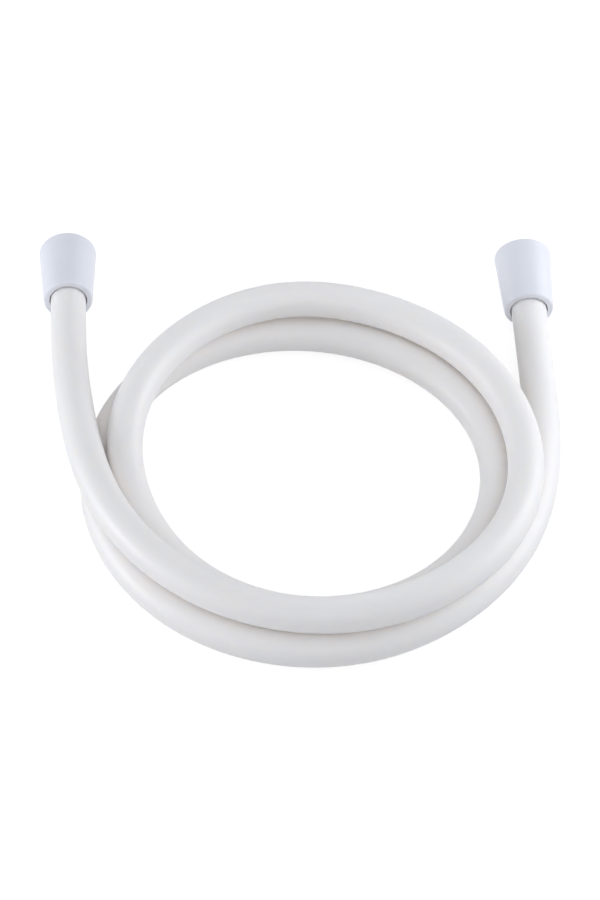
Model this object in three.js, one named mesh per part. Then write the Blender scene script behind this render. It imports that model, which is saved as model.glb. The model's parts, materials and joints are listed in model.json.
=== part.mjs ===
// A smooth shower hose lying in two and a half loose turns, with a conical nut on each end.
// Millimetres, +Z up, the hose and both nuts lie on the surface at z = 0.
// +Y is the way the mouths of both nuts point.
import * as THREE from 'three';
import { NURBSCurve } from 'three/addons/curves/NURBSCurve.js';

// Driving dimensions: the hose
const hoseDiameter = 15;
const hoseBore = 8.4;
const hoseSides = 12;
const hoseSteps = 80;
const hoseLead = 36; // the hose starts to bend within this length of a nut's neck
const leftNeckX = -96.6; // where the middle of each nut's neck face lies on the surface's plan
const leftNeckY = 82.7;
const rightNeckX = 99.3;
const rightNeckY = 80.6;
const pathSamples = 2000; // samples that measure the route, so that its steps are even

// Driving dimensions: the conical nut, measured from its neck face to its mouth face
const nutLength = 30.4;
const mouthWall = 1.75;
const neckWall = 2.45;
const mouthRounding = 1;
const neckRounding = 1;
const threadDiameter = 20.955; // outer diameter of the half inch pipe thread that the mouth holds
const threadLength = 10;
const threadChamfer = 0.25;
const shoulderHeight = 15.6; // the step that pulls on the hose tail, above the neck face
const shoulderWidth = 0.6;
const neckLipHeight = 3;

// Driving dimensions: the pieces inside a nut
const flangeThickness = 1.6;
const tailBore = 5.2;
const tailLength = 14;
const barbCount = 4;
const barbDepth = 0.5;
const sleeveWall = 0.5;
const washerBore = 10.5;
const washerThickness = 2.2;

// Clearances between pieces
const seatGap = 0.3; // faces that rest on each other
const neckClearance = 0.45; // the thin dark ring around the hose at the neck
const fitClearance = 0.3; // round pieces inside each other
const barbClearance = 0.35;
const sleeveEndClearance = 0.6; // between the crimp sleeve's free end and the nut's lip

// Radii and heights that the pieces inside a nut share
const hoseRadius = hoseDiameter / 2;
const sleeveInnerRadius = hoseRadius + fitClearance;
const sleeveOuterRadius = sleeveInnerRadius + sleeveWall;
const sleeveRoomRadius = sleeveOuterRadius + fitClearance;
const flangeRadius = sleeveRoomRadius + shoulderWidth;
const flangeBottom = shoulderHeight + seatGap;
const flangeTop = flangeBottom + flangeThickness;
const hoseEndHeight = flangeBottom - seatGap;
const sleeveBottom = neckLipHeight + sleeveEndClearance;
const washerBottom = flangeTop + seatGap;
const washerTop = washerBottom + washerThickness;

// The nut's cone, from its neck to its mouth
const neckRadius = hoseRadius + neckClearance + neckWall;
const mouthRadius = threadDiameter / 2 + mouthWall;
const coneSlope = (mouthRadius - neckRadius) / nutLength;

// How the two nuts lie: how far the mouth turns from +Y towards -X, and how far it is raised, both
// in degrees. The right nut lies along its cone. The left one's neck is lifted by its hose.
const lyingTilt = THREE.MathUtils.radToDeg(Math.atan(coneSlope));
const ends = [
  { name: 'left', neckX: leftNeckX, neckY: leftNeckY, turn: 2.4, tilt: -3.8 },
  { name: 'right', neckX: rightNeckX, neckY: rightNeckY, turn: 3.6, tilt: lyingTilt },
];

// The hose's route between its two straight leads, chosen by hand: the smooth curve bends evenly
// past these points. The first turn runs on top of the others, then the hose drops to the surface
// and runs one and a half turns outwards.
const route = [
  [-91, 9.2, 21], [-82, -35.3, 24], [-62, -70.3, 24.5], [-32, -93.8, 23],
  [5, -103.8, 22], [42, -99.3, 23], [73, -79.8, 24.5], [92.5, -49.3, 24.5],
  [96.5, -11.3, 23], [86.5, 26.7, 21], [63, 57.2, 20.5], [28, 75.7, 21],
  [-9, 77.2, 23], [-42.5, 59.7, 23], [-66, 29.2, 22], [-73, -7.8, 19.5],
  [-64, -44.8, 14.5], [-41.5, -74.3, 10.5], [-7, -90.3, 8], [31, -88.8, 7.5],
  [63.5, -69.8, 7.5], [83, -36.3, 7.5], [85.5, 2.2, 7.5], [69.5, 37.7, 7.5],
  [39.5, 62.7, 7.5], [2.5, 72.7, 7.5], [-34.5, 65.7, 7.5], [-64.5, 43.2, 7.5],
  [-81.5, 8.2, 7.5], [-82.5, -32.3, 7.5], [-66, -70.3, 7.5], [-37.5, -96.8, 7.5],
  [-1.5, -108.8, 7.5], [35, -104.8, 7.5], [67, -86.8, 9], [90, -58.3, 9],
  [101.5, -22.8, 8.5], [103.5, 13.7, 8.5],
];

// Roundness of the turned pieces
const nutSegments = 48;
const smallSegments = 32;
const arcDivisions = 4;

// Materials
const hoseVinyl = new THREE.MeshStandardMaterial({ color: 0xdedcdb, roughness: 0.35, metalness: 0 });
const nutPlastic = new THREE.MeshStandardMaterial({ color: 0xdfe2ea, roughness: 0.3, metalness: 0 });
const brass = new THREE.MeshStandardMaterial({ color: 0xb5954f, roughness: 0.35, metalness: 1 });
const sleeveSteel = new THREE.MeshStandardMaterial({ color: 0xb9bbbe, roughness: 0.3, metalness: 1 });
const washerRubber = new THREE.MeshStandardMaterial({ color: 0x232323, roughness: 0.75, metalness: 0 });

// Draws on to a corner of an outline and rounds it, on the way to the next corner
function roundedCorner(outline, corner, next, radius) {
  const back = outline.currentPoint.clone().sub(corner).normalize();
  const ahead = next.clone().sub(corner).normalize();
  const halfAngle = Math.acos(back.dot(ahead)) / 2;
  const tangentLength = radius / Math.tan(halfAngle);
  const centre = back.clone().add(ahead).setLength(radius / Math.sin(halfAngle)).add(corner);
  const start = back.clone().multiplyScalar(tangentLength).add(corner);
  const end = ahead.clone().multiplyScalar(tangentLength).add(corner);
  outline.lineTo(start.x, start.y);
  const startAngle = Math.atan2(start.y - centre.y, start.x - centre.x);
  const endAngle = Math.atan2(end.y - centre.y, end.x - centre.x);
  outline.absarc(centre.x, centre.y, radius, startAngle, endAngle, back.cross(ahead) > 0);
}

// Turns an outline of radius against height around the height axis
function turned(outline, segments) {
  outline.closePath();
  return new THREE.LatheGeometry(outline.getPoints(arcDivisions), segments);
}

// A plain ring between two radii and two heights
function ringGeometry(innerRadius, outerRadius, bottom, top) {
  const outline = new THREE.Path();
  outline.moveTo(innerRadius, bottom);
  outline.lineTo(outerRadius, bottom);
  outline.lineTo(outerRadius, top);
  outline.lineTo(innerRadius, top);
  return turned(outline, smallSegments);
}

// The nut: a smooth cone outside; inside a lip that clears the hose, room for the crimp sleeve,
// the shoulder that pulls on the flange, and the threaded mouth
function nutOutline() {
  const lipRadius = hoseRadius + neckClearance;
  const seatRadius = flangeRadius + fitClearance;
  const threadRadius = threadDiameter / 2;
  const threadBottom = nutLength - threadLength;
  const neckCorner = new THREE.Vector2(neckRadius, 0);
  const mouthCorner = new THREE.Vector2(mouthRadius, nutLength);
  const threadCorner = new THREE.Vector2(threadRadius + threadChamfer, nutLength);
  const outline = new THREE.Path();
  outline.moveTo(lipRadius, 0);
  roundedCorner(outline, neckCorner, mouthCorner, neckRounding);
  roundedCorner(outline, mouthCorner, threadCorner, mouthRounding);
  outline.lineTo(threadCorner.x, threadCorner.y);
  outline.lineTo(threadRadius, nutLength - threadChamfer);
  outline.lineTo(threadRadius, threadBottom);
  outline.lineTo(seatRadius, threadBottom);
  outline.lineTo(seatRadius, shoulderHeight);
  outline.lineTo(sleeveRoomRadius, shoulderHeight);
  outline.lineTo(sleeveRoomRadius, neckLipHeight);
  outline.lineTo(lipRadius, neckLipHeight);
  return outline;
}

// The hose tail: a flange that the nut pulls on and a barbed stem that holds inside the hose
function tailGeometry() {
  const stemRadius = (hoseBore / 2) * Math.cos(Math.PI / hoseSides) - barbClearance;
  const rootRadius = stemRadius - barbDepth;
  const tailBottom = flangeBottom - tailLength;
  const barbPitch = tailLength / barbCount;
  const outline = new THREE.Path();
  outline.moveTo(tailBore / 2, tailBottom);
  for (let barb = 0; barb < barbCount; barb += 1) {
    const barbBottom = tailBottom + barb * barbPitch;
    outline.lineTo(rootRadius, barbBottom);
    outline.lineTo(stemRadius, barbBottom + barbPitch / 2);
    outline.lineTo(rootRadius, barbBottom + barbPitch / 2);
  }
  outline.lineTo(rootRadius, flangeBottom);
  outline.lineTo(flangeRadius, flangeBottom);
  outline.lineTo(flangeRadius, flangeTop);
  outline.lineTo(tailBore / 2, flangeTop);
  return turned(outline, smallSegments);
}

// Seats a nut on the surface: the height of its neck that brings its lowest edge to z = 0
function neckHeight(tilt) {
  const angle = THREE.MathUtils.degToRad(tilt);
  const reach = (point) => point.x * Math.cos(angle) - point.y * Math.sin(angle);
  return Math.max(...nutOutline().getPoints(arcDivisions).map(reach));
}

// One end of the hose: a frame whose +Y runs from the nut's neck to its mouth
function endFrame(end) {
  const frame = new THREE.Group();
  const turn = THREE.MathUtils.degToRad(end.turn);
  const tilt = THREE.MathUtils.degToRad(end.tilt);
  frame.position.set(end.neckX, end.neckY, neckHeight(end.tilt));
  frame.rotation.set(tilt, 0, turn, 'ZYX');
  frame.updateMatrixWorld(true);
  return frame;
}

function addPiece(parent, name, geometry, material) {
  const mesh = new THREE.Mesh(geometry, material);
  mesh.name = name;
  parent.add(mesh);
}

// The hose's middle line: a cubic B-spline, so it bends as evenly as a springy hose does. Four
// points in line keep it straight inside each nut.
function hosePath(frames) {
  const straightHeights = [hoseEndHeight, neckLipHeight, -hoseLead / 2, -hoseLead];
  const onAxis = (frame, height) => frame.localToWorld(new THREE.Vector3(0, height, 0));
  const straight = (frame) => straightHeights.map((height) => onAxis(frame, height));
  const points = [
    ...straight(frames[0]),
    ...route.map((point) => new THREE.Vector3(...point)),
    ...straight(frames[1]).reverse(),
  ];
  const degree = 3;
  const spans = points.length - degree;
  const knots = Array.from({ length: points.length + degree + 1 }, (unused, at) => {
    return THREE.MathUtils.clamp(at - degree, 0, spans);
  });
  return new NURBSCurve(degree, knots, points.map((point) => new THREE.Vector4(...point, 1)));
}

// The hose: one tube along the whole route, open at both ends
function hoseGeometry(frames) {
  const path = hosePath(frames);
  path.arcLengthDivisions = pathSamples;
  const polygon = (diameter) => Array.from({ length: hoseSides }, (unused, side) => {
    const angle = (side * 2 * Math.PI) / hoseSides;
    return new THREE.Vector2(Math.cos(angle), Math.sin(angle)).multiplyScalar(diameter / 2);
  });
  const section = new THREE.Shape(polygon(hoseDiameter));
  section.holes.push(new THREE.Path(polygon(hoseBore).reverse()));
  return new THREE.ExtrudeGeometry(section, { steps: hoseSteps, bevelEnabled: false, extrudePath: path });
}

const group = new THREE.Group();
const frames = ends.map(endFrame);
addPiece(group, 'hose', hoseGeometry(frames), hoseVinyl);
ends.forEach((end, index) => {
  const frame = frames[index];
  const sleeve = ringGeometry(sleeveInnerRadius, sleeveOuterRadius, sleeveBottom, hoseEndHeight);
  const washer = ringGeometry(washerBore / 2, flangeRadius, washerBottom, washerTop);
  addPiece(frame, `${end.name}_conical_nut`, turned(nutOutline(), nutSegments), nutPlastic);
  addPiece(frame, `${end.name}_hose_tail`, tailGeometry(), brass);
  addPiece(frame, `${end.name}_crimp_sleeve`, sleeve, sleeveSteel);
  addPiece(frame, `${end.name}_washer`, washer, washerRubber);
  group.add(frame);
});

export default group;
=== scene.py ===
# %% [markdown]
# # A smooth shower hose with a conical nut on each end
#
# The hose lies in two and a half loose turns on a pale surface. At each end a nut of cool white
# plastic turns freely round a brass tail that sits in the hose's bore, and a rubber washer on the
# tail seals against the pipe that the nut is screwed on to.
#
# The solids with the real sizes come first, as a fixed frame. Everything made here dresses them:
# finer meshes for the hose, the nuts and what they hold, and a finish for each. All lengths are in
# metres, +Z is up, and the mouths of both nuts point roughly along +Y.

# %% The frame
import json
import math

import bpy
import numpy as np
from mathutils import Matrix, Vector


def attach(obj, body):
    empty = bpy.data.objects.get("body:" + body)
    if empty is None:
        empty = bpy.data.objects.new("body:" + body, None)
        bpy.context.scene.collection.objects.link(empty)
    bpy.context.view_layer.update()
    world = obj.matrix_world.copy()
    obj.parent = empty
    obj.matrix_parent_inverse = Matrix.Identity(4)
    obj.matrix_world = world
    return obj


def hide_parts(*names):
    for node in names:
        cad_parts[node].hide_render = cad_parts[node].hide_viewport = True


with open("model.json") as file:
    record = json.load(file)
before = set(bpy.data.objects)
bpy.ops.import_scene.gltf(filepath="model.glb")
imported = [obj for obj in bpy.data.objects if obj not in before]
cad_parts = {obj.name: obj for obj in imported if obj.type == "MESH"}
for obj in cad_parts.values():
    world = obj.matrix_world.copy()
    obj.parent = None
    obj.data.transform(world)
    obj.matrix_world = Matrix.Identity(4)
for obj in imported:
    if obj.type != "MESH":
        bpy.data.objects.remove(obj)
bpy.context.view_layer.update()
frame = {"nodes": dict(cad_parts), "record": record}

print("solids:", ", ".join(sorted(frame["nodes"])))

# %% [markdown]
# ## The camera
#
# A long lens far away keeps the near and far sides of the turns almost the same width, as in a
# catalogue picture. The camera looks down at 47 degrees. A camera could also be aimed with a Track
# To constraint, but a place and an angle worked out from the target say the same in two lines.

# %% The camera
CAMERA_ELEVATION = math.radians(47)
CAMERA_DISTANCE = 2.052
CAMERA_TARGET = Vector((0.0019, 0.0091, 0))
LENS_MM = 196.84

camera_data = bpy.data.cameras.new("camera")
camera_data.lens = LENS_MM
camera = bpy.data.objects.new("camera", camera_data)
toward_camera = Vector((0, -math.cos(CAMERA_ELEVATION), math.sin(CAMERA_ELEVATION)))
camera.location = CAMERA_TARGET + CAMERA_DISTANCE * toward_camera
camera.rotation_euler = (math.pi / 2 - CAMERA_ELEVATION, 0, 0)
bpy.context.collection.objects.link(camera)
bpy.context.scene.camera = camera
print("camera at", [round(value, 3) for value in camera.location])

# %% [markdown]
# ## Where the two ends lie
#
# Each nut turns about its own axis, and the frame's joints hold that axis: a point in the middle of
# the neck face and the direction from the neck to the mouth. The places could be typed in again,
# but reading them from the frame keeps the dressed model and the solids together if an end is ever
# moved. A place inside a nut is then easy to say: its height above the neck face.

# %% The ends
ENDS = {}
for joint in frame["record"]["behaviour"]["joints"]:
    side = joint["name"].split("_")[0]
    ENDS[side] = {"neck": Vector(joint["pos_m"]), "axis": Vector(joint["axis"]).normalized()}


def axis_point(side, height):
    """The point on an end's axis at this height above the nut's neck face."""
    return ENDS[side]["neck"] + height * ENDS[side]["axis"]


for side, end in ENDS.items():
    print(side, "neck at", [round(value, 4) for value in end["neck"]])

# %% [markdown]
# ## The points along the hose's route
#
# The real hose is a vinyl tube that keeps some spring, so it bends evenly and never kinks. Its
# route could come from a physics run, but then it would lie where it fell. Here the points are
# chosen along the picture: the first turn lies on top of the others, then the hose comes down to
# the surface and runs one and a half turns outwards to the right nut. Four points in line keep it
# straight inside each nut.

# %% The route's points
HOSE_END_HEIGHT = 0.0156
NECK_LIP_HEIGHT = 0.003
HOSE_LEAD = 0.036
LOOSE_POINTS = [
    (-0.091, 0.0092, 0.021), (-0.082, -0.0353, 0.024), (-0.062, -0.0703, 0.0245),
    (-0.032, -0.0938, 0.023), (0.005, -0.1038, 0.022), (0.042, -0.0993, 0.023),
    (0.073, -0.0798, 0.0245), (0.0925, -0.0493, 0.0245), (0.0965, -0.0113, 0.023),
    (0.0865, 0.0267, 0.021), (0.063, 0.0572, 0.0205), (0.028, 0.0757, 0.021),
    (-0.009, 0.0772, 0.023), (-0.0425, 0.0597, 0.023), (-0.066, 0.0292, 0.022),
    (-0.073, -0.0078, 0.0195), (-0.064, -0.0448, 0.0145), (-0.0415, -0.0743, 0.0105),
    (-0.007, -0.0903, 0.008), (0.031, -0.0888, 0.0075), (0.0635, -0.0698, 0.0075),
    (0.083, -0.0363, 0.0075), (0.0855, 0.0022, 0.0075), (0.0695, 0.0377, 0.0075),
    (0.0395, 0.0627, 0.0075), (0.0025, 0.0727, 0.0075), (-0.0345, 0.0657, 0.0075),
    (-0.0645, 0.0432, 0.0075), (-0.0815, 0.0082, 0.0075), (-0.0825, -0.0323, 0.0075),
    (-0.066, -0.0703, 0.0075), (-0.0375, -0.0968, 0.0075), (-0.0015, -0.1088, 0.0075),
    (0.035, -0.1048, 0.0075), (0.067, -0.0868, 0.009), (0.09, -0.0583, 0.009),
    (0.1015, -0.0228, 0.0085), (0.1035, 0.0137, 0.0085),
]


def straight_points(side):
    """Four points in line, from the hose's end in the nut to a little way out of its neck."""
    heights = (HOSE_END_HEIGHT, NECK_LIP_HEIGHT, -HOSE_LEAD / 2, -HOSE_LEAD)
    return [axis_point(side, height) for height in heights]


route_points = straight_points("left") + LOOSE_POINTS + straight_points("right")[::-1]
print("points along the route:", len(route_points))

# %% [markdown]
# ## A smooth line past the points
#
# The smooth line that behaves most like a springy hose is a NURBS curve: it is pulled towards its
# points without passing through them, and its bend changes gradually. A Bezier curve through the
# same points would wobble at each one. Blender draws the curve, and its places are read back as
# numbers, so that the tube can be built round them.

# %% The smooth line
NURBS_ORDER = 4
SAMPLES_PER_SPAN = 24


def nurbs_line(points):
    """The smooth line that a NURBS curve draws past these points, as an array of places."""
    curve = bpy.data.curves.new("route", "CURVE")
    curve.dimensions = "3D"
    curve.resolution_u = SAMPLES_PER_SPAN
    spline = curve.splines.new("NURBS")
    spline.points.add(len(points) - 1)
    for control, point in zip(spline.points, points):
        control.co = (*point, 1)
    spline.order_u = NURBS_ORDER
    spline.use_endpoint_u = True
    holder = bpy.data.objects.new("route", curve)
    line = np.array([vertex.co for vertex in holder.to_mesh().vertices])
    holder.to_mesh_clear()
    bpy.data.objects.remove(holder)
    bpy.data.curves.remove(curve)
    return line


smooth_line = nurbs_line(route_points)
print("places on the smooth line:", len(smooth_line))

# %% [markdown]
# ## Even steps along the line
#
# The curve's own places crowd together where its points are close. Even steps give the tube rings
# of the same length all along, and the distance to each ring is what the finish needs to run its
# marks along the hose. A Resample Curve node would space them too, but the distances are wanted as
# numbers here.

# %% Even steps
ROUTE_STEP = 0.003


def evenly_spaced(line, step):
    """The same line with its points a steady distance apart, and each point's distance along."""
    lengths = np.linalg.norm(np.diff(line, axis=0), axis=1)
    along = np.concatenate([[0], np.cumsum(lengths)])
    places = np.linspace(0, along[-1], round(along[-1] / step) + 1)
    return np.column_stack([np.interp(places, along, line[:, axis]) for axis in range(3)]), places


route, route_distance = evenly_spaced(smooth_line, ROUTE_STEP)
print(f"hose line: {len(route)} points, {route_distance[-1]:.4f} m")

# %% [markdown]
# ## One way to make every round piece
#
# The hose, the nuts and the pieces inside them are all round, hollow and closed: if you walk along
# the wall of any of them you come back to where you started, and if you walk round it you do too.
# So one grid of points that joins up with itself in both directions makes each of them, with no
# loose edges. A Screw or a Curve bevel would make the same shapes, but they leave the bore out or
# the ends open.
#
# Each point also keeps its place in the piece's own terms: across the section, and along it. The
# finishes use that to run their fine marks along the hose and round the nuts.

# %% Closed round solids
SHARP_ANGLE = math.radians(32)


def closed_solid(name, grid, places):
    """A closed mesh from a grid of points (round, along) that joins up with itself both ways."""
    round_count, along_count = grid.shape[:2]
    number = np.arange(round_count * along_count).reshape(round_count, along_count)
    beside = np.roll(number, -1, axis=0)
    faces = np.stack([number, np.roll(number, -1, axis=1), np.roll(beside, -1, axis=1), beside], -1)
    points = grid.reshape(-1, 3)
    faces = faces.reshape(-1, 4)
    corner, second, third, fourth = (points[faces[:, index]] for index in range(4))
    volume = np.einsum("ij,ij->", corner, np.cross(second, third) + np.cross(third, fourth)) / 6
    if volume < 0:
        faces = faces[:, ::-1]
    mesh = bpy.data.meshes.new(name)
    mesh.from_pydata(points.tolist(), [], faces.tolist())
    attribute = mesh.attributes.new("section_place", "FLOAT_VECTOR", "POINT")
    attribute.data.foreach_set("vector", places.reshape(-1).astype(np.float32))
    mesh.shade_smooth()
    mesh.set_sharp_from_angle(angle=SHARP_ANGLE)
    solid = bpy.data.objects.new(name, mesh)
    bpy.context.collection.objects.link(solid)
    print(f"{name}: {len(faces)} faces, {abs(volume) * 1e6:.2f} cm3")
    return solid


print("edges stay sharp above", round(math.degrees(SHARP_ANGLE)), "degrees")

# %% [markdown]
# ## The hose
#
# The hose is 15 mm thick with an 8.4 mm bore. At every step along the route a frame stands square
# to the hose: its tangent, a sideways direction and an upward one. As the route never climbs
# steeply, the sideways direction is simply tangent times up, and the tube can't twist. The skin
# runs out along the wall and back along the bore. A curve with a round bevel would be quicker, but
# it has no bore and its ends are flat caps.

# %% The hose
HOSE_RADIUS = 0.0075
BORE_RADIUS = 0.0042
HOSE_SIDES = 48


def swept_tube(name, line, distance, outer_radius, inner_radius, sides):
    """A hollow tube along a line: out along its wall and back along its bore."""
    tangent = np.gradient(line, axis=0)
    tangent /= np.linalg.norm(tangent, axis=1)[:, None]
    sideways = np.cross(tangent, [0, 0, 1])
    sideways /= np.linalg.norm(sideways, axis=1)[:, None]
    upward = np.cross(sideways, tangent)
    out_and_back = np.concatenate([np.arange(len(line)), np.arange(len(line))[::-1]])
    radius = np.repeat([outer_radius, inner_radius], len(line))
    angle = np.linspace(0, 2 * math.pi, sides, endpoint=False)[:, None]
    across = radius * np.cos(angle)
    above = radius * np.sin(angle)
    grid = (line[out_and_back] + across[..., None] * sideways[out_and_back]
            + above[..., None] * upward[out_and_back])
    along = np.broadcast_to(distance[out_and_back], across.shape)
    return closed_solid(name, grid, np.stack([across, above, along], -1))


hose = swept_tube("vinyl_hose", route, route_distance, HOSE_RADIUS, BORE_RADIUS, HOSE_SIDES)
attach(hose, "hose")
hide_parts("hose")

# %% [markdown]
# ## Outlines with rounded corners
#
# A turned or moulded piece is drawn as half of its section: a closed outline of radius against
# height. Real edges are never perfectly sharp, and the small light along a rounded edge is what
# makes a piece look made. So each corner of an outline carries its own rounding, and an arc of a
# few points takes its place. A Bevel modifier would do it too, but it can't give each corner its
# own size so plainly.

# %% Rounded outlines
ARC_STEPS = 6


def rounded(corners):
    """The outline through corners of (radius, height, rounding), as (radius, height) points."""
    outline = []
    for index, (radius, height, rounding) in enumerate(corners):
        corner = Vector((radius, height))
        if rounding == 0:
            outline.append(corner)
            continue
        back = (Vector(corners[index - 1][:2]) - corner).normalized()
        ahead = (Vector(corners[(index + 1) % len(corners)][:2]) - corner).normalized()
        half_angle = back.angle(ahead) / 2
        middle = corner + (back + ahead).normalized() * rounding / math.sin(half_angle)
        first = corner + back * rounding / math.tan(half_angle) - middle
        sweep = math.copysign(math.pi - 2 * half_angle, -back.cross(ahead))
        for step in range(ARC_STEPS + 1):
            turn = sweep * step / ARC_STEPS
            outline.append(middle + Vector((
                first.x * math.cos(turn) - first.y * math.sin(turn),
                first.x * math.sin(turn) + first.y * math.cos(turn))))
    return [tuple(point) for point in outline]


print(f"each rounded corner becomes {ARC_STEPS + 1} points")

# %% [markdown]
# ## Turning an outline into a piece
#
# Lathe work and round mouldings are the same outline at every angle. A Screw modifier would turn
# the outline, but the nuts and sleeves aren't quite round: one has a thread that winds and the
# other has dents. So the outline is turned by hand into a grid of points, and a piece may pass a
# small rule that moves its wall in or out at each angle and height.

# %% Turned pieces


def turned_piece(name, side, outline, segments, shift=None):
    """An outline turned round an end's axis. shift(angle, radius, height) moves its wall."""
    radius, height = np.array(outline).T
    angle = np.linspace(0, 2 * math.pi, segments, endpoint=False)[:, None]
    whole_wall = (segments, len(outline))
    radius, height = np.broadcast_to(radius, whole_wall), np.broadcast_to(height, whole_wall)
    if shift:
        radius = radius + shift(angle, radius, height)
    origin = np.array(ENDS[side]["neck"])
    axis = np.array(ENDS[side]["axis"])
    across = np.cross([0, 0, 1], axis)
    across /= np.linalg.norm(across)
    upward = np.cross(axis, across)
    spread = radius * np.cos(angle)
    lift = radius * np.sin(angle)
    grid = (origin + height[..., None] * axis + spread[..., None] * across
            + lift[..., None] * upward)
    return closed_solid(name, grid, np.stack([spread, lift, height], -1))


for side, end in ENDS.items():
    print(side, "pieces turn about", [round(value, 3) for value in end["axis"]])

# %% [markdown]
# ## The outline of the conical nuts
#
# Each nut is one moulding. Outside it is a plain cone, 20.8 mm across at the neck and 24.5 mm at
# the mouth, with a soft edge at the neck and a crisper one at the mouth. Inside, from the neck: a
# lip that clears the hose by 0.45 mm, which shows as the thin dark ring, room for the crimp sleeve,
# the shoulder that pulls on the tail's flange, and the mouth with its half inch pipe thread.
#
# A cone with a hole cut by Boolean would show the same outside. One outline for the inside and the
# outside keeps the wall closed and gives the thread the close rows of points that it needs.

# %% The nut's outline
NUT_LENGTH = 0.0304
NECK_RADIUS = 0.0104
LIP_RADIUS = 0.00795
MOUTH_RADIUS = 0.0122275
MOUTH_ROUNDING = 0.0006
NECK_ROUNDING = 0.001
SLEEVE_ROOM_RADIUS = 0.0086
SHOULDER_HEIGHT = 0.0156
SEAT_RADIUS = 0.0095
THREAD_RADIUS = 0.0104775
THREAD_BOTTOM = 0.0204
THREAD_ROWS = 84
CONE_ROWS = 12
EDGE_ROUNDING = 0.00025


def nut_outline():
    """The nut's outline: its neck, cone and mouth rim outside, then the thread and the shoulder."""
    slope = (MOUTH_RADIUS - NECK_RADIUS) / NUT_LENGTH
    thread_edge = THREAD_RADIUS + EDGE_ROUNDING
    corners = [(LIP_RADIUS, 0, EDGE_ROUNDING), (NECK_RADIUS, 0, NECK_ROUNDING),
               (MOUTH_RADIUS, NUT_LENGTH, MOUTH_ROUNDING), (thread_edge, NUT_LENGTH, 0)]
    outside = rounded(corners)
    neck, rim = outside[:2 * (ARC_STEPS + 1)], outside[2 * (ARC_STEPS + 1):]
    cone_heights = np.linspace(2 * NECK_ROUNDING, NUT_LENGTH - 2 * MOUTH_ROUNDING, CONE_ROWS)
    cone = [(NECK_RADIUS + slope * height, height) for height in cone_heights]
    thread_heights = np.linspace(NUT_LENGTH - EDGE_ROUNDING, THREAD_BOTTOM, THREAD_ROWS)
    thread = [(THREAD_RADIUS, height) for height in thread_heights]
    inside = rounded([(SEAT_RADIUS, THREAD_BOTTOM, EDGE_ROUNDING),
                      (SEAT_RADIUS, SHOULDER_HEIGHT, EDGE_ROUNDING),
                      (SLEEVE_ROOM_RADIUS, SHOULDER_HEIGHT, EDGE_ROUNDING),
                      (SLEEVE_ROOM_RADIUS, NECK_LIP_HEIGHT, EDGE_ROUNDING),
                      (LIP_RADIUS, NECK_LIP_HEIGHT, EDGE_ROUNDING)])
    return neck + cone + rim + thread + inside


print(f"the nut's outline: {len(nut_outline())} points, {1000 * NUT_LENGTH:.1f} mm long")

# %% [markdown]
# ## The thread in the mouth
#
# The thread is a ridge that winds round the mouth once every 1.814 mm. Its real section, 55 degrees
# with round crests and roots, is so close to a cosine wave that the wave is used: the wall moves in
# by half the thread's depth times one plus the cosine of its place in the turn. At both ends the
# ridge fades out, as a moulded thread's does. A Screw modifier on a small triangle would leave the
# thread as a separate strip pushed into the wall.

# %% The thread
THREAD_PITCH = 0.001814
THREAD_DEPTH = 0.001162
THREAD_FADE = 0.0009
SAME_RADIUS = 1e-6


def thread_ridge(angle, radius, height):
    """How far the mouth's wall moves in at each place to leave the thread's ridge."""
    in_mouth = np.abs(radius - THREAD_RADIUS) < SAME_RADIUS
    from_end = np.minimum(height - THREAD_BOTTOM, NUT_LENGTH - THREAD_FADE - height)
    fade = np.clip(from_end / THREAD_FADE, 0, 1)
    fade = fade * fade * (3 - 2 * fade)
    wave = (1 + np.cos(2 * math.pi * height / THREAD_PITCH - angle)) / 2
    return -THREAD_DEPTH * wave * fade * in_mouth


print(f"turns of thread: {(NUT_LENGTH - THREAD_BOTTOM) / THREAD_PITCH:.1f}")

# %% [markdown]
# ## Moulding both nuts
#
# The two nuts come from one mould, so one outline makes both, each about its own end's axis. Each
# rides on its own body, because it turns while the hose stays still. A mirrored copy would be
# wrong here: it would turn the thread into a left-handed one.

# %% Moulding the nuts
NUT_SEGMENTS = 128

for side in ENDS:
    nut = turned_piece(f"{side}_nut_moulding", side, nut_outline(), NUT_SEGMENTS, thread_ridge)
    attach(nut, f"{side}_nut")
    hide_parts(f"{side}_conical_nut")

# %% [markdown]
# ## The brass tails
#
# The tail is turned from bar: a flange that the nut pulls on, and a stem with four barbs that grip
# inside the hose. Only its flange and bore can be seen, down the nut's mouth. The barbs could be
# separate cones joined together, but one outline that steps in after each barb is how the lathe
# cuts them.

# %% The brass tails
FLANGE_RADIUS = 0.0092
FLANGE_BOTTOM = 0.0159
FLANGE_TOP = 0.0175
TAIL_BOTTOM = 0.0019
TAIL_BORE_RADIUS = 0.0026
STEM_RADIUS = 0.0037
STEM_ROOT_RADIUS = 0.0032
BARB_COUNT = 4
BARB_ROUNDING = 0.0001


def tail_outline():
    """The tail's outline: its barbed stem from the bottom up, then its flange."""
    pitch = (FLANGE_BOTTOM - TAIL_BOTTOM) / BARB_COUNT
    corners = [(TAIL_BORE_RADIUS, TAIL_BOTTOM, 0)]
    for barb in range(BARB_COUNT):
        bottom = TAIL_BOTTOM + barb * pitch
        corners += [(STEM_ROOT_RADIUS, bottom, 0),
                    (STEM_RADIUS, bottom + pitch / 2, BARB_ROUNDING),
                    (STEM_ROOT_RADIUS, bottom + pitch / 2, BARB_ROUNDING)]
    corners += [(STEM_ROOT_RADIUS, FLANGE_BOTTOM, EDGE_ROUNDING),
                (FLANGE_RADIUS, FLANGE_BOTTOM, EDGE_ROUNDING),
                (FLANGE_RADIUS, FLANGE_TOP, EDGE_ROUNDING),
                (TAIL_BORE_RADIUS, FLANGE_TOP, 2 * EDGE_ROUNDING)]
    return rounded(corners)


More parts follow.
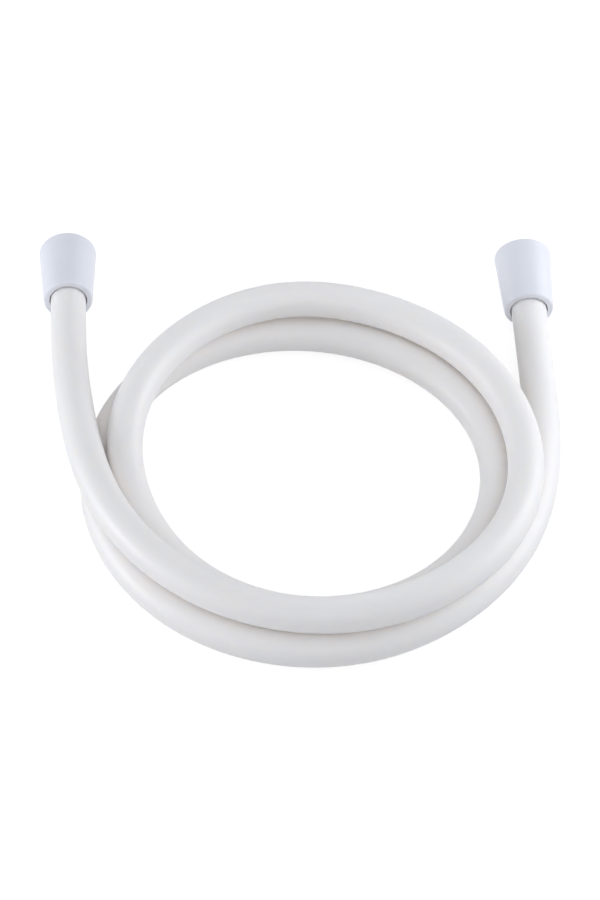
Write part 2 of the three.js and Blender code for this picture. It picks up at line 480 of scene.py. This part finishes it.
print(f"the tail's outline: {len(tail_outline())} points, {BARB_COUNT} barbs")

# %% [markdown]
# ## The steel sleeves
#
# A thin steel sleeve is squeezed round the hose in eight places, so that the barbs can't slip. The
# dents could be modelled by hand with a lattice, but a cosine wave round the sleeve makes all eight
# alike, deepest in the middle of the sleeve's height. The ring's two walls get extra rows of points
# so that they can bend there.

# %% The steel sleeves
SLEEVE_INNER_RADIUS = 0.0078
SLEEVE_OUTER_RADIUS = 0.0083
SLEEVE_BOTTOM = 0.0036
SLEEVE_ROUNDING = 0.0001
SLEEVE_ROWS = 24
DENT_COUNT = 8
DENT_DEPTH = 0.0002


def ring_outline(inner_radius, outer_radius, bottom, top, rounding, rows=1):
    """A ring's outline, with extra rows along its two walls where they are to be dented."""
    outline = rounded([(inner_radius, bottom, rounding), (outer_radius, bottom, rounding),
                       (outer_radius, top, rounding), (inner_radius, top, rounding)])
    quarter = len(outline) // 4
    levels = np.linspace(bottom + rounding, top - rounding, rows + 1)[1:-1]
    outer_wall = [(outer_radius, level) for level in levels]
    inner_wall = [(inner_radius, level) for level in levels[::-1]]
    return outline[:2 * quarter] + outer_wall + outline[2 * quarter:] + inner_wall


def sleeve_dents(angle, radius, height):
    """How far the sleeve's wall moves in at each place: most in its middle, eight times round."""
    middle = (SLEEVE_BOTTOM + HOSE_END_HEIGHT) / 2
    reach = (HOSE_END_HEIGHT - SLEEVE_BOTTOM) / 3
    depth = np.clip(1 - np.abs(height - middle) / reach, 0, 1)
    return -DENT_DEPTH * depth * (1 + np.cos(DENT_COUNT * angle)) / 2


sleeve_outline = ring_outline(SLEEVE_INNER_RADIUS, SLEEVE_OUTER_RADIUS, SLEEVE_BOTTOM,
                              HOSE_END_HEIGHT, SLEEVE_ROUNDING, rows=SLEEVE_ROWS)
print(f"the sleeve's outline: {len(sleeve_outline)} points")

# %% [markdown]
# ## The rubber washers
#
# A black rubber washer lies on the flange and seals against the end of the pipe. It is the dark
# ring that one sees down the mouth. A torus would be too round for it: a flat washer is stamped
# from sheet, so it is the same ring outline as the sleeve's, with softer corners and no dents.

# %% The rubber washers
WASHER_BORE_RADIUS = 0.00525
WASHER_BOTTOM = 0.0178
WASHER_TOP = 0.02
WASHER_ROUNDING = 0.0004

washer_outline = ring_outline(WASHER_BORE_RADIUS, FLANGE_RADIUS, WASHER_BOTTOM, WASHER_TOP,
                              WASHER_ROUNDING)
print(f"the washer's outline: {len(washer_outline)} points")

# %% [markdown]
# ## Setting them in both ends
#
# The tail, the sleeve and the washer stay with the hose when a nut turns, so all three ride on the
# hose's body. One loop sets them in both ends. The right end could be a linked copy of the left
# one, but each piece dresses a solid of its own.

# %% Setting them in both ends
SMALL_SEGMENTS = 96

for side in ENDS:
    tail = turned_piece(f"{side}_brass_tail", side, tail_outline(), SMALL_SEGMENTS)
    sleeve = turned_piece(f"{side}_squeezed_sleeve", side, sleeve_outline, SMALL_SEGMENTS,
                          sleeve_dents)
    washer = turned_piece(f"{side}_rubber_washer", side, washer_outline, SMALL_SEGMENTS)
    dressed = ((tail, "hose_tail", "tail_brass"), (sleeve, "crimp_sleeve", "sleeve_steel"),
               (washer, "washer", "washer_rubber"))
    for piece, node, slot in dressed:
        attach(piece, "hose")
        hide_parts(f"{side}_{node}")

# %% [markdown]
# ## The hose between the nuts
#
# The hose is 1.56 m of 15 mm hose that leaves the left nut at its neck, lies in loose turns and
# ends in a fitting. It is left as a plain mesh.

# %% [markdown]
# ## Starting a finish
#
# Every finish starts from Blender's Principled shader. What is the same all over a piece, such as
# how metallic or rough it is, is set on the shader itself. What varies is read at the piece's own
# section place, so that the marks run along the hose or round the nut and turn with it. Object
# coordinates would do for a straight piece, but on the hose they would run across the turns.

# %% Starting a finish


def new_finish(name, roughness, metallic=0.0):
    """A material with a Principled shader, and its section place as a source for noise."""
    material = bpy.data.materials.new(name)
    material.use_nodes = True
    tree = material.node_tree
    shader = tree.nodes["Principled BSDF"]
    shader.inputs["Roughness"].default_value = roughness
    shader.inputs["Metallic"].default_value = metallic
    place = tree.nodes.new("ShaderNodeAttribute")
    place.attribute_name = "section_place"
    return material, tree, shader, place.outputs["Vector"]


def coat_both(piece, finish):
    """Give a finish to this piece at both ends."""
    for side in ENDS:
        bpy.data.objects[f"{side}_{piece}"].data.materials.append(finish)
    print(f"{finish.name} is on both pieces called {piece}")


# %% [markdown]
# ## Noise, and the range that it drives
#
# No real surface is quite even, and noise is what breaks it up. Image textures could carry more
# detail, but noise needs no file and has no seams. Its value stays mostly between 0.3 and 0.7, so
# that part is spread over the range that a finish asks for.

# %% Noise and ranges
NOISE_LOW = 0.3
NOISE_HIGH = 0.7


def noise(tree, place, scale, stretch=(1, 1, 1), detail=2.0):
    """Noise with this many grains to the metre, drawn out along the section place's axes."""
    mapping = tree.nodes.new("ShaderNodeMapping")
    mapping.inputs["Scale"].default_value = stretch
    texture = tree.nodes.new("ShaderNodeTexNoise")
    texture.inputs["Scale"].default_value = scale
    texture.inputs["Detail"].default_value = detail
    tree.links.new(place, mapping.inputs["Vector"])
    tree.links.new(mapping.outputs["Vector"], texture.inputs["Vector"])
    return texture.outputs["Fac"]


def between(tree, amount, low, high):
    """A value that goes from low to high as the noise goes from its usual lows to its highs."""
    ramp = tree.nodes.new("ShaderNodeMapRange")
    ramp.inputs["From Min"].default_value = NOISE_LOW
    ramp.inputs["From Max"].default_value = NOISE_HIGH
    ramp.inputs["To Min"].default_value = low
    ramp.inputs["To Max"].default_value = high
    tree.links.new(amount, ramp.inputs["Value"])
    return ramp.outputs["Result"]


print(f"noise from {NOISE_LOW} to {NOISE_HIGH} fills a finish's range")

# %% [markdown]
# ## Blended colours and fine bumps
#
# Two close colours blended by noise keep a plain surface from looking painted on a screen. A Color
# Ramp could hold both, but a Mix node shows plainly that there are just two. The finest relief,
# such as a grain far under a millimetre, is left to bumps: as real geometry it would take millions
# of faces.

# %% Colours and bumps


def blended(tree, amount, first, second):
    """A colour that goes from the first to the second as amount goes from 0 to 1."""
    mix = tree.nodes.new("ShaderNodeMix")
    mix.data_type = "RGBA"
    inputs = {socket.identifier: socket for socket in mix.inputs}
    inputs["A_Color"].default_value = (*first, 1)
    inputs["B_Color"].default_value = (*second, 1)
    tree.links.new(amount, inputs["Factor_Float"])
    return {socket.identifier: socket for socket in mix.outputs}["Result_Color"]


def bump(tree, shader, heights, distance):
    """Bumps from several (noise, share) pairs, whose shares are of the same height in metres."""
    normal = None
    for height, share in heights:
        node = tree.nodes.new("ShaderNodeBump")
        node.inputs["Strength"].default_value = share
        node.inputs["Distance"].default_value = distance
        tree.links.new(height, node.inputs["Height"])
        if normal:
            tree.links.new(normal, node.inputs["Normal"])
        normal = node.outputs["Normal"]
    tree.links.new(normal, shader.inputs["Normal"])


print("colours are blended in pairs, and bumps are shares of one height")

# %% [markdown]
# ## White vinyl
#
# Soft vinyl is a warm white. Light goes well into its wall and comes out again nearby, which evens
# out its shading and warms the seams where two turns touch. A plain diffuse white would leave those
# seams grey and hard, so the light is let in through the shader's subsurface.
#
# The hose comes out of a round die, so its faint marks run along it, and it has the slight
# unevenness of a soft skin. The colour stays nearly even, because a shower hose is dyed through.

# %% White vinyl
VINYL_WHITE = (0.948, 0.903, 0.865)
VINYL_SHADE = (0.928, 0.883, 0.845)
VINYL_ROUGHNESS = (0.42, 0.5)
VINYL_DEPTH = 0.005
VINYL_REACH = (0.85, 0.8, 0.7)

vinyl, tree, shader, place = new_finish("white_vinyl", roughness=0.46)
cloudy = between(tree, noise(tree, place, scale=40, stretch=(1, 1, 0.4)), 0, 1)
tree.links.new(blended(tree, cloudy, VINYL_WHITE, VINYL_SHADE), shader.inputs["Base Color"])
gloss = between(tree, noise(tree, place, scale=300, stretch=(1, 1, 0.1)), *VINYL_ROUGHNESS)
tree.links.new(gloss, shader.inputs["Roughness"])
shader.inputs["Subsurface Weight"].default_value = 1.0
shader.inputs["Subsurface Radius"].default_value = VINYL_REACH
shader.inputs["Subsurface Scale"].default_value = VINYL_DEPTH
die_lines = noise(tree, place, scale=1400, stretch=(1, 1, 0.01))
soft_skin = noise(tree, place, scale=160, stretch=(1, 1, 0.6))
bump(tree, shader, [(die_lines, 0.25), (soft_skin, 0.5)], distance=0.0001)
hose.data.materials.append(vinyl)
print(f"{vinyl.name} is on {hose.name}, and light goes about {1000 * VINYL_DEPTH:.0f} mm in")

# %% [markdown]
# ## Moulded nut plastic
#
# The nuts are a harder, cooler white than the hose, with a finely blasted mould surface: an even
# satin with a very fine grain. One roughness for the whole nut would look too clean, so it varies
# a little, and a wider, softer bump stands for the shrinkage of a thick moulding.

# %% Moulded nut plastic
NUT_WHITE = (0.799, 0.82, 0.865)
NUT_SHADE = (0.783, 0.804, 0.849)
NUT_ROUGHNESS = (0.31, 0.38)
NUT_DEPTH = 0.0008
NUT_REACH = (0.8, 0.85, 1.0)

plastic, tree, shader, place = new_finish("moulded_nut_plastic", roughness=0.34)
cloudy = between(tree, noise(tree, place, scale=90), 0, 1)
tree.links.new(blended(tree, cloudy, NUT_WHITE, NUT_SHADE), shader.inputs["Base Color"])
gloss = between(tree, noise(tree, place, scale=900), *NUT_ROUGHNESS)
tree.links.new(gloss, shader.inputs["Roughness"])
shader.inputs["Subsurface Weight"].default_value = 0.1
shader.inputs["Subsurface Radius"].default_value = NUT_REACH
shader.inputs["Subsurface Scale"].default_value = NUT_DEPTH
grain = noise(tree, place, scale=5000, detail=3)
shrinkage = noise(tree, place, scale=120)
bump(tree, shader, [(grain, 0.12), (shrinkage, 0.3)], distance=0.0001)
coat_both("nut_moulding", plastic)

# %% [markdown]
# ## Turned brass
#
# The lathe leaves fine rings on the brass, so its noise is squeezed along the axis and drawn out
# round it. An anisotropic shader would give the same long glints, but the rings themselves would
# be missing close up. The colour goes from bright brass to brass that has dulled in the air.

# %% Turned brass
BRASS_BRIGHT = (0.76, 0.60, 0.32)
BRASS_TARNISHED = (0.66, 0.51, 0.26)
BRASS_ROUGHNESS = (0.2, 0.34)

brass, tree, shader, place = new_finish("turned_brass", roughness=0.26, metallic=1.0)
tarnish = between(tree, noise(tree, place, scale=350), 0, 1)
tree.links.new(blended(tree, tarnish, BRASS_BRIGHT, BRASS_TARNISHED),
               shader.inputs["Base Color"])
rings = noise(tree, place, scale=900, stretch=(0.05, 0.05, 8))
tree.links.new(between(tree, rings, *BRASS_ROUGHNESS), shader.inputs["Roughness"])
bump(tree, shader, [(rings, 0.4)], distance=0.00005)
coat_both("brass_tail", brass)

# %% [markdown]
# ## Squeezed steel
#
# The sleeve is rolled sheet with a faint lengthwise grain. The same noise drives its colour, its
# roughness and its bumps, since all three come from the same scratches. Three separate noises
# would pull the grain apart.

# %% Squeezed steel
STEEL_BRIGHT = (0.62, 0.62, 0.63)
STEEL_DULL = (0.52, 0.52, 0.53)
STEEL_ROUGHNESS = (0.24, 0.36)

steel, tree, shader, place = new_finish("squeezed_steel", roughness=0.3, metallic=1.0)
grain = noise(tree, place, scale=1500, stretch=(1, 1, 0.05))
tree.links.new(blended(tree, between(tree, grain, 0, 1), STEEL_BRIGHT, STEEL_DULL),
               shader.inputs["Base Color"])
tree.links.new(between(tree, grain, *STEEL_ROUGHNESS), shader.inputs["Roughness"])
bump(tree, shader, [(grain, 0.3)], distance=0.00004)
coat_both("squeezed_sleeve", steel)

# %% [markdown]
# ## Washer rubber
#
# Rubber is nearly black and dull, with a dusty bloom that makes it greyer and duller in patches.
# A single black would read as a hole in the mouth, so the bloom is blended in by noise and moves
# the roughness along with the colour.

# %% Washer rubber
RUBBER_BLACK = (0.02, 0.02, 0.021)
RUBBER_BLOOM = (0.045, 0.044, 0.043)
RUBBER_ROUGHNESS = (0.6, 0.78)

rubber, tree, shader, place = new_finish("washer_rubber", roughness=0.7)
bloom = between(tree, noise(tree, place, scale=600, detail=4), 0, 1)
tree.links.new(blended(tree, bloom, RUBBER_BLACK, RUBBER_BLOOM), shader.inputs["Base Color"])
tree.links.new(between(tree, bloom, *RUBBER_ROUGHNESS), shader.inputs["Roughness"])
bump(tree, shader, [(noise(tree, place, scale=2500), 0.3)], distance=0.00008)
coat_both("rubber_washer", rubber)

# %% [markdown]
# ## What the camera sees, and what only lights
#
# The picture's ground is pure white. A floor and sky bright enough for that would also throw too
# much light on to the hose, so each has two sides: one that is seen, and one that only lights. The
# Light Path node tells them apart. Hiding the floor from the camera would be simpler, but then the
# hose's shadow would go too.

# %% Seen or only lighting


def seen_or_reflected(tree):
    """1 for what the camera sees, by itself or in gloss or glass, and 0 for light that bounces."""
    path = tree.nodes.new("ShaderNodeLightPath")
    either = path.outputs["Is Camera Ray"]
    for kind in ("Is Glossy Ray", "Is Transmission Ray"):
        highest = tree.nodes.new("ShaderNodeMath")
        highest.operation = "MAXIMUM"
        tree.links.new(either, highest.inputs[0])
        tree.links.new(path.outputs[kind], highest.inputs[1])
        either = highest.outputs[0]
    return either


print("the floor and the sky are seen in one way and light in another")

# %% [markdown]
# ## The floor's finish
#
# To the camera and in reflections the floor adds a glow of its own that brings it to white, and to
# all other light it is a plain pale surface. A pure glow would be white as well, but nothing could
# cast a shadow on it, so a diffuse part stays under the glow.

# %% The floor's finish
FLOOR_WHITE = (0.82, 0.82, 0.82)
FLOOR_SHOWN = (0.45, 0.45, 0.45)
FLOOR_GLOW = 0.74

floor_finish = bpy.data.materials.new("pale_floor")
floor_finish.use_nodes = True
tree = floor_finish.node_tree
tree.nodes.remove(tree.nodes["Principled BSDF"])
plain = tree.nodes.new("ShaderNodeBsdfDiffuse")
plain.inputs["Color"].default_value = (*FLOOR_WHITE, 1)
shown = tree.nodes.new("ShaderNodeBsdfDiffuse")
shown.inputs["Color"].default_value = (*FLOOR_SHOWN, 1)
glow = tree.nodes.new("ShaderNodeEmission")
glow.inputs["Strength"].default_value = FLOOR_GLOW
both = tree.nodes.new("ShaderNodeAddShader")
choice = tree.nodes.new("ShaderNodeMixShader")
tree.links.new(shown.outputs[0], both.inputs[0])
tree.links.new(glow.outputs[0], both.inputs[1])
tree.links.new(seen_or_reflected(tree), choice.inputs[0])
tree.links.new(plain.outputs[0], choice.inputs[1])
tree.links.new(both.outputs[0], choice.inputs[2])
tree.links.new(choice.outputs[0], tree.nodes["Material Output"].inputs["Surface"])
print(f"{floor_finish.name}: {len(tree.nodes)} nodes")

# %% [markdown]
# ## The floor
#
# The hose rests on a flat, even surface whose edges are out of sight. One large square at height
# zero is all that it takes. A curved backdrop is the usual studio answer, but the camera looks down
# far enough to see nothing but floor.

# %% The floor
FLOOR_SIZE = 12

half = FLOOR_SIZE / 2
floor_mesh = bpy.data.meshes.new("floor")
floor_mesh.from_pydata([(-half, -half, 0), (half, -half, 0), (half, half, 0), (-half, half, 0)],
                       [], [(0, 1, 2, 3)])
floor_mesh.materials.append(floor_finish)
floor = bpy.data.objects.new("floor", floor_mesh)
bpy.context.collection.objects.link(floor)
print(f"floor: {FLOOR_SIZE} m square")

# %% [markdown]
# ## The lamps
#
# In the picture the sides of the hose that face left and right are the brightest, and the tops and
# fronts are an even pale grey. A low soft box on each side gives the bright flanks, a wide one far
# in front, behind the camera, fills the fronts, and a weak one overhead lifts the tops. Sun or
# point lamps would draw hard shadows that the picture doesn't have.
#
# A lamp's size sets how soft it is, and its watts spread over that size, so each box is given its
# brightness and its watts follow.

# %% The lamps
LAMP_COLOUR = (0.94, 0.949, 1.0)


def soft_box(name, place, width, height, brightness):
    """A rectangle of light facing the hose. Its watts are its brightness times pi and its area."""
    lamp = bpy.data.lights.new(name, "AREA")
    lamp.shape = "RECTANGLE"
    lamp.size = width
    lamp.size_y = height
    lamp.energy = brightness * math.pi * width * height
    lamp.color = LAMP_COLOUR
    holder = bpy.data.objects.new(name, lamp)
    holder.location = place
    holder.rotation_euler = (-Vector(place)).to_track_quat("-Z", "Y").to_euler()
    bpy.context.collection.objects.link(holder)
    print(f"{name}: {lamp.energy:.1f} W")


soft_box("left_box", (-1.3, 0, 0.2), width=0.8, height=0.6, brightness=5.87)
soft_box("right_box", (0.7, 0.23, 0.3), width=0.55, height=0.5, brightness=3.5)
soft_box("top_box", (0, 0.1, 1.3), width=1.0, height=0.8, brightness=0.55)
soft_box("front_box", (0, -2.7, 2.4), width=2.2, height=1.8, brightness=2.3)

# %% [markdown]
# ## The sky
#
# An even, slightly cool sky stands for the white walls of a studio and fills every side that the
# lamps miss. A picture of a real studio could light it too, but it would need a file. As with the
# floor, what is seen of the sky is pure white, and what only lights is dimmer.

# %% The sky
SKY_COLOUR = (0.915, 0.938, 1.0)
SKY_STRENGTH = 0.42
SEEN_SKY = (1, 1, 1)

world = bpy.data.worlds.new("pale_sky")
bpy.context.scene.world = world
world.use_nodes = True
tree = world.node_tree
sky = tree.nodes["Background"]
sky.inputs["Color"].default_value = (*SKY_COLOUR, 1)
sky.inputs["Strength"].default_value = SKY_STRENGTH
white = tree.nodes.new("ShaderNodeBackground")
white.inputs["Color"].default_value = (*SEEN_SKY, 1)
choice = tree.nodes.new("ShaderNodeMixShader")
tree.links.new(seen_or_reflected(tree), choice.inputs[0])
tree.links.new(sky.outputs[0], choice.inputs[1])
tree.links.new(white.outputs[0], choice.inputs[2])
tree.links.new(choice.outputs[0], tree.nodes["World Output"].inputs["Surface"])
print(f"{world.name}: strength {SKY_STRENGTH} where it only lights")

# %% [markdown]
# ## Colour
#
# The Standard view shows colours as they are written, which suits a plain white product. A filmic
# view would keep more of the brightest tones, but it would turn the white ground grey.

# %% Colour and the last line
bpy.context.scene.view_settings.view_transform = "Standard"
print("view:", bpy.context.scene.view_settings.view_transform)
